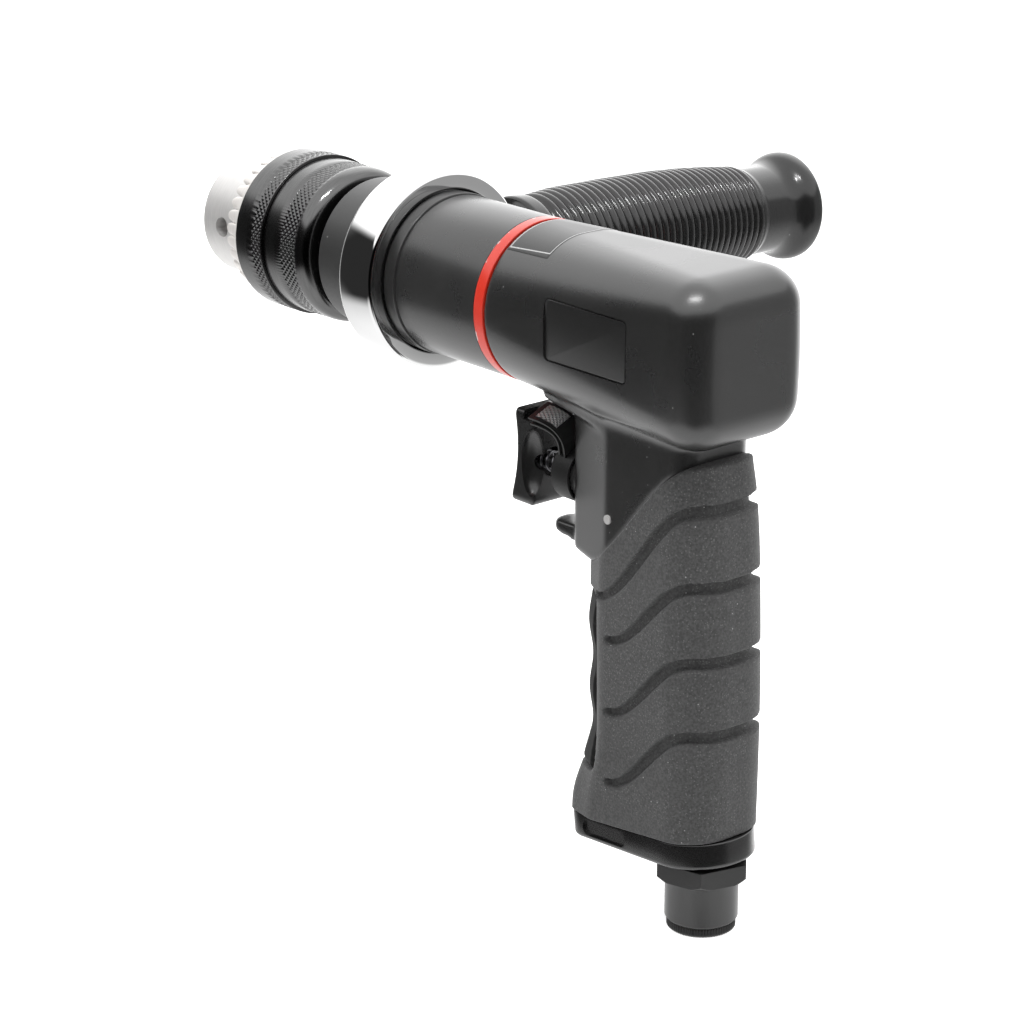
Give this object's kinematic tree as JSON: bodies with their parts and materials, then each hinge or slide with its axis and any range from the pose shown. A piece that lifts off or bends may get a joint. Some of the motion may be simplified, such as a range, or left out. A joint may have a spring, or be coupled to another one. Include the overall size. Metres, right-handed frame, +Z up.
{
  "type": "air drill",
  "caption": "Pistol-grip reversible air drill with a keyed chuck, planetary gears, vane motor, swinging side handle, trigger valve and rubber-covered grip.",
  "frame": {"origin": "centre of the chuck mouth, on the spindle's axis", "axes": "+X out of the chuck along the spindle, +Y to the tool's left, +Z up"},
  "size_m": [0.2192, 0.1741, 0.1928],
  "materials": {
    "housing_black": "satin black, fine texture",
    "grip_rubber": "matte speckled dark grey",
    "badge_black": "satin",
    "ring_red": "gloss red paint",
    "barrel_black": "gloss black enamel",
    "collar_chrome": "mirror polished",
    "handle_black": "gloss black",
    "chuck_steel": "bright nose, dark rear ring",
    "chuck_black": "black oxide, polished",
    "steel": "ground",
    "spring_steel": "bright",
    "iron": "ground",
    "bronze": "turned",
    "seal_rubber": "matte",
    "vane_resin": "laminate",
    "trigger_black": "satin black",
    "lever_black": "satin black",
    "base_black": "gloss black",
    "inlet_black": "black oxide",
    "felt": "felt"
  },
  "bodies": {
    "drill_body": {"motor_housing": "housing_black", "rubber_grip": "grip_rubber", "side_badge": "badge_black", "red_ring": "ring_red", "gear_housing": "barrel_black", "spindle_rear_bearing": "steel", "spindle_front_bearing": "steel", "spindle_seal": "seal_rubber", "ring_gear": "steel", "cylinder_liner": "iron", "front_end_plate": "iron", "rear_end_plate": "iron", "rotor_front_bearing": "steel", "rotor_rear_bearing": "steel", "throttle_bushing": "bronze", "throttle_seal": "seal_rubber", "valve_sleeve": "bronze", "valve_pin": "steel", "base_plate": "base_black", "base_screws": "steel", "exhaust_silencers": "felt", "inlet_bushing": "inlet_black", "inlet_rim": "inlet_black", "inlet_screen": "steel", "inlet_seal": "seal_rubber"},
    "collar": {"handle_collar": "collar_chrome"},
    "side_handle": {"handle_grip": "handle_black", "handle_stud": "steel"},
    "output_spindle": {"spindle": "steel", "second_planet_pins": "steel", "chuck_body": "chuck_steel", "chuck_screw": "steel"},
    "key_sleeve": {"chuck_sleeve": "chuck_black", "chuck_nut": "steel"},
    "jaw_1": {"chuck_jaw_1": "steel"},
    "jaw_2": {"chuck_jaw_2": "steel"},
    "jaw_3": {"chuck_jaw_3": "steel"},
    "planet_carrier": {"first_carrier": "steel", "first_planet_pins": "steel"},
    "motor_rotor": {"rotor": "steel", "rotor_vanes": "vane_resin"},
    "trigger_set": {"trigger": "trigger_black", "throttle_stem": "steel", "throttle_poppet": "seal_rubber", "trigger_spring": "spring_steel"},
    "reverse_set": {"reverse_lever": "lever_black", "reverse_valve": "bronze"},
    "planet_a1": {"first_planet_1": "steel"},
    "planet_b1": {"second_planet_1": "steel"},
    "planet_a2": {"first_planet_2": "steel"},
    "planet_b2": {"second_planet_2": "steel"},
    "planet_a3": {"first_planet_3": "steel"},
    "planet_b3": {"second_planet_3": "steel"}
  },
  "joints": [
    {"name": "spindle_spin", "type": "hinge", "parent": "drill_body", "child": "output_spindle", "pos_m": [-0.1, 0, 0], "axis": [1, 0, 0], "continuous": true},
    {"name": "carrier_spin", "type": "hinge", "parent": "drill_body", "child": "planet_carrier", "pos_m": [-0.124, 0, 0], "axis": [1, 0, 0], "continuous": true},
    {"name": "rotor_spin", "type": "hinge", "parent": "drill_body", "child": "motor_rotor", "pos_m": [-0.178, 0, 0], "axis": [1, 0, 0], "continuous": true},
    {"name": "planet_a1_spin", "type": "hinge", "parent": "planet_carrier", "child": "planet_a1", "pos_m": [-0.1297, 0, 0.0105], "axis": [1, 0, 0], "continuous": true},
    {"name": "planet_b1_spin", "type": "hinge", "parent": "output_spindle", "child": "planet_b1", "pos_m": [-0.1186, 0, 0.0105], "axis": [1, 0, 0], "continuous": true},
    {"name": "planet_a2_spin", "type": "hinge", "parent": "planet_carrier", "child": "planet_a2", "pos_m": [-0.1297, -0.00909, -0.00525], "axis": [1, 0, 0], "continuous": true},
    {"name": "planet_b2_spin", "type": "hinge", "parent": "output_spindle", "child": "planet_b2", "pos_m": [-0.1186, -0.00909, -0.00525], "axis": [1, 0, 0], "continuous": true},
    {"name": "planet_a3_spin", "type": "hinge", "parent": "planet_carrier", "child": "planet_a3", "pos_m": [-0.1297, 0.00909, -0.00525], "axis": [1, 0, 0], "continuous": true},
    {"name": "planet_b3_spin", "type": "hinge", "parent": "output_spindle", "child": "planet_b3", "pos_m": [-0.1186, 0.00909, -0.00525], "axis": [1, 0, 0], "continuous": true},
    {"name": "sleeve_turn", "type": "hinge", "parent": "output_spindle", "child": "key_sleeve", "pos_m": [-0.028, 0, 0], "axis": [1, 0, 0], "range_deg": [0, 3600]},
    {"name": "jaw_1_slide", "type": "slide", "parent": "output_spindle", "child": "jaw_1", "axis": [0.9659, -0.1294, -0.2241], "range_m": [0, 0.021]},
    {"name": "jaw_2_slide", "type": "slide", "parent": "output_spindle", "child": "jaw_2", "axis": [0.9659, 0.2588, 0], "range_m": [0, 0.021]},
    {"name": "jaw_3_slide", "type": "slide", "parent": "output_spindle", "child": "jaw_3", "axis": [0.9659, -0.1294, 0.2241], "range_m": [0, 0.021]},
    {"name": "collar_swing", "type": "hinge", "parent": "drill_body", "child": "collar", "pos_m": [-0.0876, 0, 0], "axis": [1, 0, 0], "continuous": true},
    {"name": "handle_turn", "type": "hinge", "parent": "collar", "child": "side_handle", "pos_m": [-0.0876, 0, 0], "axis": [0, -0.9996, -0.0297], "range_deg": [0, 360]},
    {"name": "trigger_pull", "type": "slide", "parent": "drill_body", "child": "trigger_set", "axis": [-1, 0, 0], "range_m": [0, 0.005], "stiffness_N_per_m": 1200, "springref_m": -0.003, "deforming": ["trigger_spring"]},
    {"name": "reverse_turn", "type": "hinge", "parent": "drill_body", "child": "reverse_set", "pos_m": [-0.1515, 0, -0.0455], "axis": [1, 0, 0], "range_deg": [0, 46]}
  ],
  "couplings": [
    {"joint": "carrier_spin", "follows": "spindle_spin", "ratio": 5},
    {"joint": "rotor_spin", "follows": "spindle_spin", "ratio": 25},
    {"joint": "planet_a1_spin", "follows": "spindle_spin", "ratio": -13.333},
    {"joint": "planet_b1_spin", "follows": "spindle_spin", "ratio": -2.6667},
    {"joint": "planet_a2_spin", "follows": "spindle_spin", "ratio": -13.333},
    {"joint": "planet_b2_spin", "follows": "spindle_spin", "ratio": -2.6667},
    {"joint": "planet_a3_spin", "follows": "spindle_spin", "ratio": -13.333},
    {"joint": "planet_b3_spin", "follows": "spindle_spin", "ratio": -2.6667},
    {"joint": "jaw_1_slide", "follows": "sleeve_turn", "m_per_rad": 0.000334},
    {"joint": "jaw_2_slide", "follows": "sleeve_turn", "m_per_rad": 0.000334},
    {"joint": "jaw_3_slide", "follows": "sleeve_turn", "m_per_rad": 0.000334}
  ]
}
